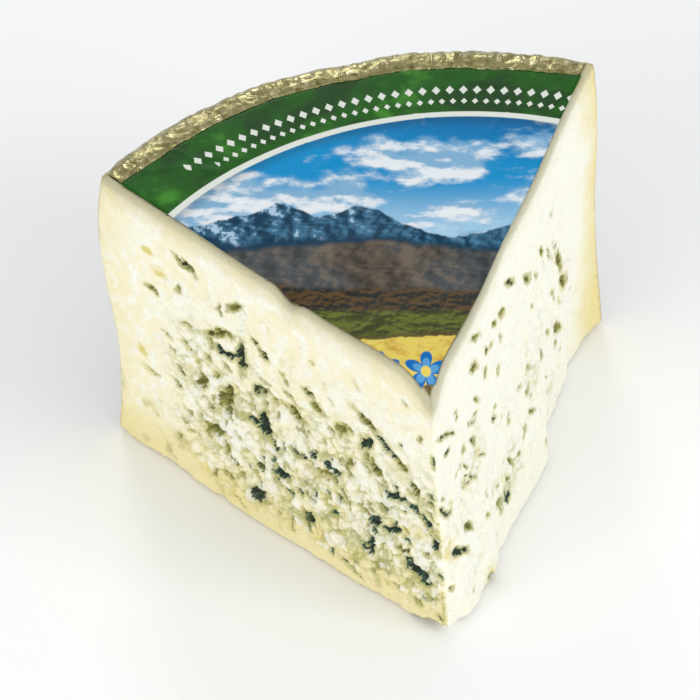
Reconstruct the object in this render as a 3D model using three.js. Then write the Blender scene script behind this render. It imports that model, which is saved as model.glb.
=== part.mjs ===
// A wedge cut from a round blue cheese, in three pieces: the paste with its rind, the foil that
// the wheel was wrapped in, and the round label on top, which the cut went through as well.
//
// Millimetres, +Z up. The wedge stands on its flat base with the tip towards -Y and its middle
// line along +Y. The model is drawn with the tip at the plan's origin, and the last lines move
// it so that the origin lies at the centre of the base's bounding rectangle.

import * as THREE from 'three';

// The wheel
const WHEEL_RADIUS = 100; // to the outside of the foil
const WHEEL_HEIGHT = 80; // from the floor to the top of the label near the rim
const TOP_SHOULDER = 4; // radius where the side turns into the top
const BASE_SHOULDER = 3; // radius where the side turns into the base

// The cut
const WEDGE_ANGLE = 66; // degrees between the two cut faces
const AXIS_AHEAD = 6.5; // the wheel's axis, from the tip along the middle line
const AXIS_ASIDE = 6.5; // the wheel's axis, to the right of the middle line
const NOSE_RADIUS = 1.8; // the worn upright edge at the tip

// The top, which has sunk towards the tip
const TOP_FALL = 3; // how far the top slopes down from the rim to the tip
const FALL_LENGTH = 90; // how far from the tip that slope starts
const TIP_DROP = 7; // how much further the very tip has rolled down
const TIP_ROLL = 10; // how far from the tip the roll starts

// The foil and the label
const FOIL_THICKNESS = 0.4;
const FOIL_GAP = 0.3; // between the foil and the paste
const FOIL_SETBACK = 0.8; // from the cut faces to the foil's cut edges
const LABEL_MARGIN = 2.4; // from the top shoulder in to the label's round edge
const LABEL_THICKNESS = 0.3;
const LABEL_GAP = 0.3; // between the label and the foil
const LABEL_SETBACK = 1; // from the cut faces to the label's cut edges

// How finely the faces are divided
const RAY_COUNT = 30;
const SHOULDER_STEPS = 6;
const TOP_STEPS = 24;

const HALF_ANGLE = THREE.MathUtils.degToRad(WEDGE_ANGLE / 2);
const WHEEL_AXIS = new THREE.Vector2(AXIS_ASIDE, AXIS_AHEAD);
const FOIL_TOP = WHEEL_HEIGHT - LABEL_THICKNESS - LABEL_GAP;
const LABEL_RADIUS = WHEEL_RADIUS - TOP_SHOULDER - LABEL_MARGIN;

/**
 * The rays that divide a wedge in plan. They fan out from the corner where its two cut edges
 * would meet. A setback moves that corner up the middle line, so that the edges stay parallel
 * to the cut faces at that distance.
 */
function fanOfRays(setback) {
  const corner = new THREE.Vector2(0, setback / Math.sin(HALF_ANGLE));
  const toAxis = WHEEL_AXIS.clone().sub(corner);
  return Array.from({ length: RAY_COUNT + 1 }, (_, index) => {
    const angle = HALF_ANGLE * ((2 * index) / RAY_COUNT - 1);
    const way = new THREE.Vector2(Math.sin(angle), Math.cos(angle));
    return { corner, angle, way, toAxis };
  });
}

/** The plan point at a distance along a ray. */
function planPoint(ray, distance) {
  return ray.way.clone().multiplyScalar(distance).add(ray.corner);
}

/** How far along a ray the circle of a given radius about the wheel's axis lies. */
function reachToRim(ray, radius) {
  const along = ray.toAxis.dot(ray.way);
  return along + Math.sqrt(radius ** 2 - ray.toAxis.lengthSq() + along ** 2);
}

/** How far along a ray the nose starts: an arc that touches both edges of the wedge. */
function reachToNose(ray) {
  const toCentre = NOSE_RADIUS / Math.sin(HALF_ANGLE);
  const across = toCentre * Math.sin(ray.angle);
  return toCentre * Math.cos(ray.angle) - Math.sqrt(Math.max(0, NOSE_RADIUS ** 2 - across ** 2));
}

/** How far the top has sunk at a distance along a ray: the long slope and the rolled tip. */
function fallAt(ray, distance) {
  const fromTip = planPoint(ray, distance).length();
  const slope = TOP_FALL * Math.max(0, 1 - fromTip / FALL_LENGTH);
  const roll = TIP_DROP * Math.max(0, 1 - fromTip / TIP_ROLL) ** 2;
  return slope + roll;
}

/**
 * The top of a layer along a ray, from a far distance back to the nose, as points of distance
 * and height. The steps shorten towards the tip, where the top is most curved.
 */
function topLine(ray, far, height) {
  const near = reachToNose(ray);
  return Array.from({ length: TOP_STEPS + 1 }, (_, index) => {
    const distance = near + (far - near) * (1 - index / TOP_STEPS) ** 2;
    return new THREE.Vector2(distance, height - fallAt(ray, distance));
  });
}

/** A quarter turn of a given radius about a centre, from one angle to another, ends included. */
function quarterTurn(centre, radius, from, to) {
  return Array.from({ length: SHOULDER_STEPS + 1 }, (_, index) => {
    const angle = from + ((to - from) * index) / SHOULDER_STEPS;
    return new THREE.Vector2(Math.cos(angle), Math.sin(angle)).multiplyScalar(radius).add(centre);
  });
}

/**
 * The line that a skin follows in the upright plane of a ray: out along the base, round the base
 * shoulder, up the side, round the top shoulder, and back along the top. The inset is how far
 * the skin lies inside the outer face of the foil.
 */
function skinLine(ray, inset) {
  const rim = reachToRim(ray, WHEEL_RADIUS - inset);
  const baseTurn = BASE_SHOULDER - inset;
  const topTurn = TOP_SHOULDER - inset;
  const height = FOIL_TOP - inset;
  const topFar = rim - topTurn;
  const baseCentre = new THREE.Vector2(rim - baseTurn, inset + baseTurn);
  const topCentre = new THREE.Vector2(topFar, height - topTurn - fallAt(ray, topFar));
  return [
    new THREE.Vector2(reachToNose(ray), inset),
    ...quarterTurn(baseCentre, baseTurn, -Math.PI / 2, 0),
    ...quarterTurn(topCentre, topTurn, 0, Math.PI / 2),
    ...topLine(ray, topFar, height).slice(1),
  ];
}

/**
 * One closed solid swept through the fan. Each ray carries a closed loop of points of distance
 * and height, all loops have as many points, and the first and last loops are filled as the
 * two cut faces.
 */
function sweptSolid(rays, loops) {
  const size = loops[0].length;
  const positions = loops.flatMap((loop, index) => loop.flatMap((point) => {
    const plan = planPoint(rays[index], point.x);
    return [plan.x, plan.y, point.y];
  }));
  const triangles = [];
  for (let ray = 0; ray < loops.length - 1; ray += 1) {
    for (let step = 0; step < size; step += 1) {
      const a = ray * size + step;
      const b = ray * size + ((step + 1) % size);
      triangles.push(a, b, b + size, a, b + size, a + size);
    }
  }
  const last = (loops.length - 1) * size;
  THREE.ShapeUtils.triangulateShape(loops[0], [])
    .forEach(([a, b, c]) => triangles.push(a, c, b));
  THREE.ShapeUtils.triangulateShape(loops.at(-1), [])
    .forEach(([a, b, c]) => triangles.push(last + a, last + b, last + c));

  const geometry = new THREE.BufferGeometry();
  geometry.setAttribute('position', new THREE.Float32BufferAttribute(positions, 3));
  geometry.setIndex(triangles);
  geometry.computeVertexNormals();
  return geometry;
}

/** The paste: everything inside the foil, out to the cut faces. */
function cheeseGeometry() {
  const rays = fanOfRays(0);
  return sweptSolid(rays, rays.map((ray) => skinLine(ray, FOIL_THICKNESS + FOIL_GAP)));
}

/** The foil: a thin skin under the base, round the side and over the top, open at the cut. */
function foilGeometry() {
  const rays = fanOfRays(FOIL_SETBACK);
  const loops = rays.map((ray) => [
    ...skinLine(ray, 0),
    ...skinLine(ray, FOIL_THICKNESS).reverse(),
  ]);
  return sweptSolid(rays, loops);
}

/** The label: a thin sheet on the foil's top, round at the rim and cut along both faces. */
function labelGeometry() {
  const rays = fanOfRays(LABEL_SETBACK);
  const loops = rays.map((ray) => {
    const rim = reachToRim(ray, LABEL_RADIUS);
    const upper = topLine(ray, rim, WHEEL_HEIGHT);
    const lower = topLine(ray, rim, WHEEL_HEIGHT - LABEL_THICKNESS);
    return [...lower.reverse(), ...upper];
  });
  return sweptSolid(rays, loops);
}

/** A named piece in its own finish. */
function piece(name, geometry, color, roughness, metalness) {
  const material = new THREE.MeshStandardMaterial({ name, color, roughness, metalness });
  const mesh = new THREE.Mesh(geometry, material);
  mesh.name = name;
  return mesh;
}

const wedge = new THREE.Group();
wedge.name = 'cheese_wedge';
wedge.add(piece('cheese', cheeseGeometry(), 0xf3ecc8, 0.6, 0));
wedge.add(piece('foil_wrap', foilGeometry(), 0x8a8248, 0.4, 0.9));
wedge.add(piece('label', labelGeometry(), 0x3f8f5a, 0.45, 0));

const bounds = new THREE.Box3().setFromObject(wedge);
const middle = bounds.getCenter(new THREE.Vector3());
wedge.position.set(-middle.x, -middle.y, -bounds.min.z);

export default wedge;
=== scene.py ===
"""A wedge cut from a round blue cheese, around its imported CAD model.

The wedge has three pieces: the paste with its rind, the foil that wraps it, and the printed
label on top. Shapes are worked out in millimetres, as whole arrays over a grid, and put into
meshes in metres. Heights are above the floor, and plan points are (x, y) from the origin.
"""

import math

import bpy
import numpy as np
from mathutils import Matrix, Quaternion, Vector


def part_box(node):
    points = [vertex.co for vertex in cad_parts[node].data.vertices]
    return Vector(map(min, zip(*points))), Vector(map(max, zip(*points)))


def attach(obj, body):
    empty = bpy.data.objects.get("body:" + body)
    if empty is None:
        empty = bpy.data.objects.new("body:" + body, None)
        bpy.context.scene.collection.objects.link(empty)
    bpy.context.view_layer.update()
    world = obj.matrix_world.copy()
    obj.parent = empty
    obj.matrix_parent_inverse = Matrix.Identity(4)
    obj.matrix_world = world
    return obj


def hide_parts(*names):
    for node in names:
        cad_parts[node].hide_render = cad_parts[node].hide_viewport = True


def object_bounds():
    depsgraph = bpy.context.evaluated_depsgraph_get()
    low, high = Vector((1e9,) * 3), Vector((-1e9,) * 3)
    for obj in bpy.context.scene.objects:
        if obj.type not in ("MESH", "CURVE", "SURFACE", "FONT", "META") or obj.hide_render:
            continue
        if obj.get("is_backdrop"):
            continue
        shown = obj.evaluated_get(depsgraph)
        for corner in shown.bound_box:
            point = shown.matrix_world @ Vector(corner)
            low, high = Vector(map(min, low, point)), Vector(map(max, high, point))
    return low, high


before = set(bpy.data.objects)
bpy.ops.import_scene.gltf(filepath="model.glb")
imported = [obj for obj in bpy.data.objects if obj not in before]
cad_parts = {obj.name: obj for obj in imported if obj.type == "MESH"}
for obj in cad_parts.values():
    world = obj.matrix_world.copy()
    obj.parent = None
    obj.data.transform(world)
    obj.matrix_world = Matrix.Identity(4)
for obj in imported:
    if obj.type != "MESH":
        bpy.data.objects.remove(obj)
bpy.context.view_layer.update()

MM = 0.001

# ---------------------------------------------------------------- the wheel and the cut (mm)

WHEEL_RADIUS = 100.0
HALF_ANGLE = math.radians(33)
AXIS_FROM_TIP = np.array([6.5, 6.5])  # the wheel's axis, right of and ahead of the tip
PASTE_INSET = 0.7  # the paste's rim in the CAD model, inside the foil's outer face
NOSE_FROM_TIP = 1.5  # from the sharp corner of the cut to the worn tip
FOIL_SETBACK = 1.6  # from the cut faces to the foil's cut edges
LABEL_SETBACK = 1.1
LABEL_RADIUS = 93.6

LEFT_WAY = np.array([-math.sin(HALF_ANGLE), math.cos(HALF_ANGLE)])
RIGHT_WAY = np.array([math.sin(HALF_ANGLE), math.cos(HALF_ANGLE)])
LEFT_OUT = np.array([-math.cos(HALF_ANGLE), -math.sin(HALF_ANGLE)])
RIGHT_OUT = np.array([math.cos(HALF_ANGLE), -math.sin(HALF_ANGLE)])


def reach(way, radius, start=np.zeros(2)):
    """Distance from a start point near the tip, along a plan direction, to the circle of a
    radius about the wheel's axis: b + sqrt(radius^2 - |c|^2 + b^2), with c the axis from the
    start and b its part along the direction."""
    to_axis = AXIS_FROM_TIP - start
    along = way @ to_axis
    return along + np.sqrt(radius**2 - to_axis @ to_axis + along**2)


cheese_low = np.array(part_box("cheese")[0]) / MM
LEFT_LENGTH = reach(LEFT_WAY, WHEEL_RADIUS - PASTE_INSET)
RIGHT_LENGTH = reach(RIGHT_WAY, WHEEL_RADIUS - PASTE_INSET)
TIP = np.array([
    cheese_low[0] - LEFT_LENGTH * LEFT_WAY[0],
    cheese_low[1] - NOSE_FROM_TIP,
])
WHEEL_AXIS = TIP + AXIS_FROM_TIP
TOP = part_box("label")[1][2] / MM  # the top of the label at the rim


# ---------------------------------------------------------------- helpers on arrays


def smooth(value, low, high):
    """0 below low, 1 above high, and 3t^2 - 2t^3 between, with t the share of the way."""
    share = np.clip((value - low) / (high - low), 0.0, 1.0)
    return share * share * (3 - 2 * share)


def hump(value, centre, width):
    """A bell, exp(-((value - centre) / width)^2)."""
    return np.exp(-(((value - centre) / width) ** 2))


def dice(i, j, seed):
    """A number from 0 to 1 for each whole-number grid point, by mixing the bits of i and j."""
    with np.errstate(over="ignore"):
        bits = i.astype(np.uint64) * np.uint64(0x9E3779B97F4A7C15)
        bits ^= j.astype(np.uint64) * np.uint64(0xC2B2AE3D27D4EB4F)
        bits += np.uint64(seed * 7919 + 1)
        for shift in (30, 27, 31):
            bits ^= bits >> np.uint64(shift)
            bits *= np.uint64(0xBF58476D1CE4E5B9)
        bits ^= bits >> np.uint64(29)
    return (bits >> np.uint64(40)).astype(float) / 2**24


def grain(x, y, seed):
    """Value noise from -1 to 1: dice at the corners of unit squares, blended by 3t^2 - 2t^3."""
    x, y = np.broadcast_arrays(np.asarray(x, float), y)
    i, j = np.floor(x).astype(np.int64), np.floor(y).astype(np.int64)
    u, v = smooth(x - i, 0, 1), smooth(y - j, 0, 1)
    total = np.zeros_like(x)
    for a in (0, 1):
        for b in (0, 1):
            total += np.abs(1 - a - u) * np.abs(1 - b - v) * dice(i + a, j + b, seed)
    return total * 2 - 1


def layered(x, y, seed, layers=3):
    """Layers of grain, each twice as fine and half as strong as the one before."""
    total = sum(grain(x * 2**n, y * 2**n, seed + 17 * n) * 0.5**n for n in range(layers))
    return total / (2 - 0.5 ** (layers - 1))


def cells(x, y, seed):
    """Unit cells with one scattered point each. Gives the distance to the nearest point, the
    extra distance to the next nearest, and the dice of the nearest point's cell."""
    i, j = np.floor(x).astype(np.int64), np.floor(y).astype(np.int64)
    nearest = np.full(np.shape(x), 9.0)
    second = np.full(np.shape(x), 9.0)
    owner = np.zeros(np.shape(x))
    for a in (-1, 0, 1):
        for b in (-1, 0, 1):
            px = i + a + dice(i + a, j + b, seed)
            py = j + b + dice(i + a, j + b, seed + 1)
            distance = np.hypot(x - px, y - py)
            closer = distance < nearest
            second = np.where(closer, nearest, np.minimum(second, distance))
            owner = np.where(closer, dice(i + a, j + b, seed + 2), owner)
            nearest = np.where(closer, distance, nearest)
    return nearest, second - nearest, owner


def folded(x, y, seed):
    """Flat facets from 0 to 1: dice at the points of a lattice of triangles, with a plane
    through each triangle's three corners, as in a crumpled sheet."""
    skew = (x + y) * (math.sqrt(3) - 1) / 2
    i, j = np.floor(x + skew).astype(np.int64), np.floor(y + skew).astype(np.int64)
    u, v = x + skew - i, y + skew - j
    near, far = dice(i, j, seed), dice(i + 1, j + 1, seed)
    beside = np.where(u > v, dice(i + 1, j, seed), dice(i, j + 1, seed))
    high, low = np.maximum(u, v), np.minimum(u, v)
    return near * (1 - high) + beside * (high - low) + far * low


# ---------------------------------------------------------------- the worn shape of the wedge


def top_drop(x, y):
    """How far the top lies below the rim's height at a plan point: a long fall towards the
    tip, a step where the lip slumped, the rolled tip, and a chip in the left lip."""
    from_tip = np.hypot(x - TIP[0], y - TIP[1])
    fall = 0.8 * (1 - smooth(from_tip, 50, 95)) + 1.7 * (1 - smooth(from_tip, 32, 50))
    roll = 8.5 * np.maximum(0, 1 - from_tip / 12) ** 2
    chip_x, chip_y = TIP + 43.5 * LEFT_WAY
    chip = 2.3 * np.exp(-(((x - chip_x) ** 2 + (y - chip_y) ** 2) / 3.2**2))
    return fall + roll + chip


# How far the right face's foot stands out, as pairs of distance from the tip and stand-out
RIGHT_FOOT = ((0, 0.8), (7, 3.1), (23, 3.2), (29, 1.6), (60, 2.5), (70, -1.6), (86, -1.1),
              (92, -2.8), (106, -0.8))


def face_bow(along, height, side):
    """How far a cut face stands out from its flat plane. The left face bows a little. The
    right face bows at its middle, and its broken foot stands out and steps back in turn."""
    left = 1.0 * hump(along, 50, 38) + 0.6 * hump(height, 0, 22) * hump(along, 50, 40)
    middle = 0.9 * smooth(along, 0, 26) * (1 - smooth(along, 62, 98))
    foot = np.interp(along, *zip(*RIGHT_FOOT)) * (1 - smooth(height, 6, 44))
    return np.where(side > 0, middle + foot, left)


def barrel(x, y, height):
    """The side's lumpy bulge, added to the wheel's radius: fullest below the top, drawn in
    under the middle, wider round the left part, and uneven all round."""
    turn = np.arctan2(x - WHEEL_AXIS[0], y - WHEEL_AXIS[1])
    bulge = 3.2 * hump(height, 67, 19) - 1.4 * hump(height, 30, 17)
    leftward = smooth(-turn, 0.1, 0.62) * (1 - smooth(height, 50, 80))
    lumps = 1.0 * layered(turn * 9, height / 21, 41, 2)
    return bulge + (3.0 + 1.1 * hump(height, 0, 9)) * leftward + lumps


BARREL_DEPTH = 32.0  # how far in from the rim the bulge still pushes


def add_barrel(x, y, height):
    """Plan points pushed out from the wheel's axis by the barrel, less so further inside."""
    out_x, out_y = x - WHEEL_AXIS[0], y - WHEEL_AXIS[1]
    distance = np.maximum(np.hypot(out_x, out_y), 1e-6)
    near_rim = smooth(distance, WHEEL_RADIUS - BARREL_DEPTH, WHEEL_RADIUS)
    push = barrel(x, y, height) * near_rim / distance
    return x + out_x * push, y + out_y * push


# ---------------------------------------------------------------- the cut faces

# Mould pockets: distance from the tip, height, half-length, half-width, slant in degrees as
# seen from outside (up to the right is positive), and how blue they are
LEFT_POCKETS = (
    (54.5, 33.0, 3.4, 1.3, 75, 0.95),
    (57.0, 31.5, 2.8, 0.9, 10, 0.90),
    (52.0, 30.0, 3.0, 1.1, -48, 0.95),
    (53.5, 31.5, 1.8, 1.5, 0, 1.00),
    (65.5, 37.0, 1.8, 1.0, 40, 0.35),
    (66.8, 33.0, 2.8, 1.3, 70, 0.20),
    (66.0, 29.5, 1.8, 0.9, -60, 0.40),
    (74.5, 33.5, 2.0, 1.1, 70, 0.15),
    (65.0, 48.0, 2.2, 1.1, 10, 0.80),
    (60.3, 50.5, 3.6, 0.95, 82, 0.60),
    (67.5, 52.5, 4.0, 0.8, 32, 0.30),
    (61.5, 64.3, 2.0, 0.7, 45, 0.35),
    (76.0, 68.0, 2.0, 0.7, -25, 0.45),
    (86.0, 54.0, 1.0, 0.6, -30, 0.30),
    (55.0, 57.5, 1.1, 0.7, -40, 0.60),
    (53.0, 55.0, 1.3, 0.7, -40, 0.50),
    (55.0, 42.8, 1.7, 0.8, 30, 0.55),
    (43.5, 43.0, 2.0, 1.1, -25, 0.30),
    (39.0, 52.2, 1.1, 0.8, -20, 0.50),
    (36.5, 49.0, 1.6, 1.1, -40, 0.20),
    (21.0, 53.8, 3.2, 0.85, -28, 0.35),
    (14.5, 49.0, 3.6, 0.9, -32, 0.85),
    (21.5, 47.0, 2.3, 1.4, 70, 0.95),
    (11.5, 46.5, 1.6, 1.0, -50, 0.30),
    (29.0, 46.5, 1.8, 1.2, 60, 0.15),
    (42.0, 30.5, 1.3, 0.8, 0, 0.60),
    (38.5, 32.5, 1.2, 0.7, 0, 0.60),
    (33.0, 32.5, 2.4, 1.4, -50, 0.90),
    (35.0, 29.5, 2.6, 0.7, 10, 0.40),
    (12.5, 35.5, 3.2, 0.95, 5, 0.90),
    (6.0, 33.5, 3.2, 0.95, -35, 0.85),
    (7.0, 41.5, 1.4, 1.0, -40, 0.30),
    (27.0, 38.0, 1.6, 1.0, 40, 0.20),
    (19.5, 40.0, 1.4, 1.0, -30, 0.25),
    (50.0, 20.5, 1.6, 1.2, 40, 0.70),
    (57.0, 9.5, 2.2, 1.6, 70, 0.65),
    (56.5, 18.5, 1.4, 0.8, -30, 0.60),
    (65.0, 14.5, 1.0, 0.7, 80, 0.50),
    (71.5, 20.5, 2.2, 1.2, 30, 0.10),
    (42.0, 11.5, 1.9, 1.4, 60, 0.55),
    (20.5, 23.0, 2.8, 0.9, 50, 0.95),
    (15.5, 24.5, 2.0, 0.9, 40, 0.85),
    (22.0, 16.0, 3.2, 1.0, 65, 0.80),
    (8.0, 15.5, 3.2, 2.1, -20, 1.00),
    (12.5, 19.5, 1.3, 0.8, 30, 0.40),
    (2.0, 28.0, 2.2, 0.9, -70, 0.70),
    (6.5, 1.2, 6.5, 0.35, 12, 0.15),
)
RIGHT_POCKETS = (
    (48.5, 66.0, 3.2, 0.8, -38, 0.55),
    (42.5, 61.5, 2.4, 0.8, -35, 0.20),
    (37.5, 63.0, 1.6, 0.6, -40, 0.10),
    (23.5, 62.5, 2.6, 1.0, -55, 0.35),
    (25.0, 70.0, 2.8, 0.8, -30, 0.10),
    (31.5, 60.5, 1.4, 0.6, -40, 0.50),
    (5.5, 57.0, 3.6, 0.8, -32, 0.60),
    (9.5, 54.0, 2.0, 0.6, -50, 0.40),
    (13.0, 57.0, 1.6, 0.5, -40, 0.45),
    (6.0, 51.5, 1.8, 0.7, -10, 0.60),
    (30.5, 55.0, 1.8, 0.9, -60, 0.10),
    (24.0, 52.5, 1.8, 0.6, -40, 0.25),
    (59.0, 58.0, 2.4, 0.9, -50, 0.30),
    (69.0, 57.5, 1.8, 0.7, -40, 0.10),
    (80.5, 44.5, 3.6, 1.0, -58, 0.20),
    (83.0, 36.5, 3.8, 1.2, -42, 0.22),
    (75.5, 37.5, 2.6, 0.8, -62, 0.20),
    (79.0, 25.0, 3.2, 0.9, -45, 0.10),
    (34.3, 37.3, 1.7, 0.8, -45, 0.75),
    (36.0, 11.5, 1.6, 1.1, -40, 0.75),
    (37.0, 15.5, 1.2, 0.6, -50, 0.30),
    (40.0, 19.0, 2.2, 0.6, -60, 0.15),
    (53.0, 23.0, 1.6, 0.5, -30, 0.40),
    (70.0, 17.0, 1.6, 0.5, -45, 0.40),
    (44.0, 17.5, 1.6, 0.5, -20, 0.40),
    (2.5, 36.5, 3.4, 0.9, -50, 0.60),
    (7.0, 21.5, 3.4, 0.9, -45, 0.85),
    (12.0, 24.0, 2.4, 0.8, -45, 0.30),
    (20.5, 1.0, 3.0, 1.2, -60, 0.10),
)
# Yellow and orange stains: distance from the tip, height, half-width, half-height, strength
LEFT_STAINS = (
    (86.0, 65.5, 1.6, 1.3, 0.75),
    (83.5, 61.0, 2.0, 1.6, 0.80),
    (91.5, 32.0, 1.5, 2.0, 0.90),
    (74.0, 8.0, 5.5, 3.6, 0.60),
    (64.0, 5.0, 6.5, 2.8, 0.50),
    (40.0, 8.0, 3.0, 3.2, 0.80),
    (34.0, 6.0, 2.4, 3.0, 0.60),
    (4.0, 11.5, 5.5, 5.0, 0.70),
    (9.0, 27.0, 5.0, 4.0, 0.45),
    (29.0, 47.0, 2.6, 2.6, 0.45),
    (19.0, 7.0, 5.0, 3.0, 0.45),
    (50.0, 8.0, 4.0, 3.0, 0.35),
)
RIGHT_STAINS = (
    (20.5, 1.0, 4.0, 4.0, 0.60),
    (83.0, 36.0, 4.0, 4.0, 0.40),
    (25.0, 70.0, 4.0, 2.0, 0.30),
    (104.0, 12.0, 4.0, 12.0, 0.60),
    (3.0, 26.0, 4.0, 7.0, 0.50),
)


def pocket_field(level, height, pockets, side, seed, size):
    """The open pockets of a cut face. Each one's measure is 1 at its centre and 0 at its
    ragged edge: 1 minus the offset over its half sizes, along and across its slant, taken at
    points that grain has shifted. Returns the strongest measure and how blue it is."""
    shift_x = 1.3 * layered(level / 3.1, height / 3.1, seed, 3)
    shift_y = 1.3 * layered(level / 3.1, height / 3.1, seed + 5, 3)
    ragged = 0.45 * layered(level / 1.3, height / 1.3, seed + 7, 2)
    best = np.full(np.shape(level), -3.0)
    blue = np.zeros(np.shape(level))
    for distance, centre, half_length, half_width, slant, tint in pockets:
        turn = math.radians(slant)
        x, y = level - side * distance + shift_x, height - centre + shift_y
        along = (x * math.cos(turn) + y * math.sin(turn)) / (half_length * size)
        across = (y * math.cos(turn) - x * math.sin(turn)) / (half_width * size)
        offset = np.hypot(along, across)
        measure = 1 - 0.85 * offset + ragged
        blue = np.where(measure > best, tint, blue)
        best = np.maximum(best, measure)
    return best, blue


def stain_field(level, height, stains, side, seed):
    """Soft stains: bells at their places, broken up by grain."""
    total = np.zeros(np.shape(level))
    for distance, centre, half_width, half_height, strength in stains:
        x, y = (level - side * distance) / half_width, (height - centre) / half_height
        total = np.maximum(total, strength * np.exp(-(x * x + y * y)))
    return total * (1 + 0.9 * layered(level / 2.2, height / 2.2, seed, 3))


def strokes(x, y, slant, length, width, seed):
    """Scattered strokes, one to a unit cell, about a common slant in degrees. Each has its own
    length and width, up to the largest given. The measure is 1 on a stroke's axis and 0 at
    its edge, and comes with the dice of the nearest stroke."""
    i, j = np.floor(x).astype(np.int64), np.floor(y).astype(np.int64)
    best = np.full(np.shape(x), -3.0)
    owner = np.zeros(np.shape(x))
    for a in (-1, 0, 1):
        for b in (-1, 0, 1):
            rolls = [dice(i + a, j + b, seed + n) for n in range(6)]
            dx, dy = x - i - a - rolls[0], y - j - b - rolls[1]
            turn = np.radians(slant + 80 * (rolls[2] - 0.5))
            along = np.abs(dx * np.cos(turn) + dy * np.sin(turn))
            across = dy * np.cos(turn) - dx * np.sin(turn)
            over = np.maximum(0, along - length * (0.3 + 0.7 * rolls[3]))
            measure = 1 - np.hypot(across, over) / (width * (0.4 + 0.6 * rolls[4]))
            owner = np.where(measure > best, rolls[5], owner)
            best = np.maximum(best, measure)
    return best, owner


def veined_zone(along, height, side):
    """How strongly mould has run through the paste: 0 in the clean bands along the rind and
    1 well inside. The left face is veined all over, the right one in a few places."""
    wander = 6 * layered(along / 26, height / 26, 61, 2)
    length = np.where(side > 0, RIGHT_LENGTH, LEFT_LENGTH)
    back = smooth(length - along + wander, 6, 34)
    depth = TOP - height + wander
    top = 0.35 * smooth(depth, 8, 22) + 0.65 * smooth(depth, 24, 48)
    foot = smooth(height + 0.4 * wander, 1, 9)
    inside = back * top * foot
    patches = 0.26 + 0.40 * smooth(layered(along / 19, height / 19, 67, 2), 0.0, 0.6)
    return inside * np.where(side > 0, patches, 1.0)


def slits_and_pits(x, y, zone, seed):
    """Scattered slits, pits and short nicks, each kind more common where the paste is veined.
    Returns how open the slits and the pits are, and the soft halo round them."""
    slit, slit_dice = strokes(x / 7.5, y / 7.5, -38, 0.4, 0.10, seed)
    pit, pit_dice = strokes(x / 4.6, y / 4.6, -60, 0.22, 0.17, seed + 6)
    nick, nick_dice = strokes(x / 2.9, y / 2.9, -50, 0.3, 0.12, seed + 8)
    is_slit = smooth(0.04 + 0.45 * zone - slit_dice, 0, 0.1)
    is_pit = smooth(0.02 + 0.74 * zone - pit_dice, 0, 0.1)
    is_nick = smooth(0.02 + 0.40 * zone - nick_dice, 0, 0.1)
    open_slit = np.maximum(smooth(slit, 0, 0.6) * is_slit, 0.7 * smooth(nick, 0, 0.7) * is_nick)
    open_pit = smooth(pit, 0, 0.6) * is_pit
    halo = np.maximum(smooth(pit, -1.5, 0.2) * is_pit, 0.8 * smooth(slit, -1.5, 0.2) * is_slit)
    return open_slit, open_pit, halo


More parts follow.
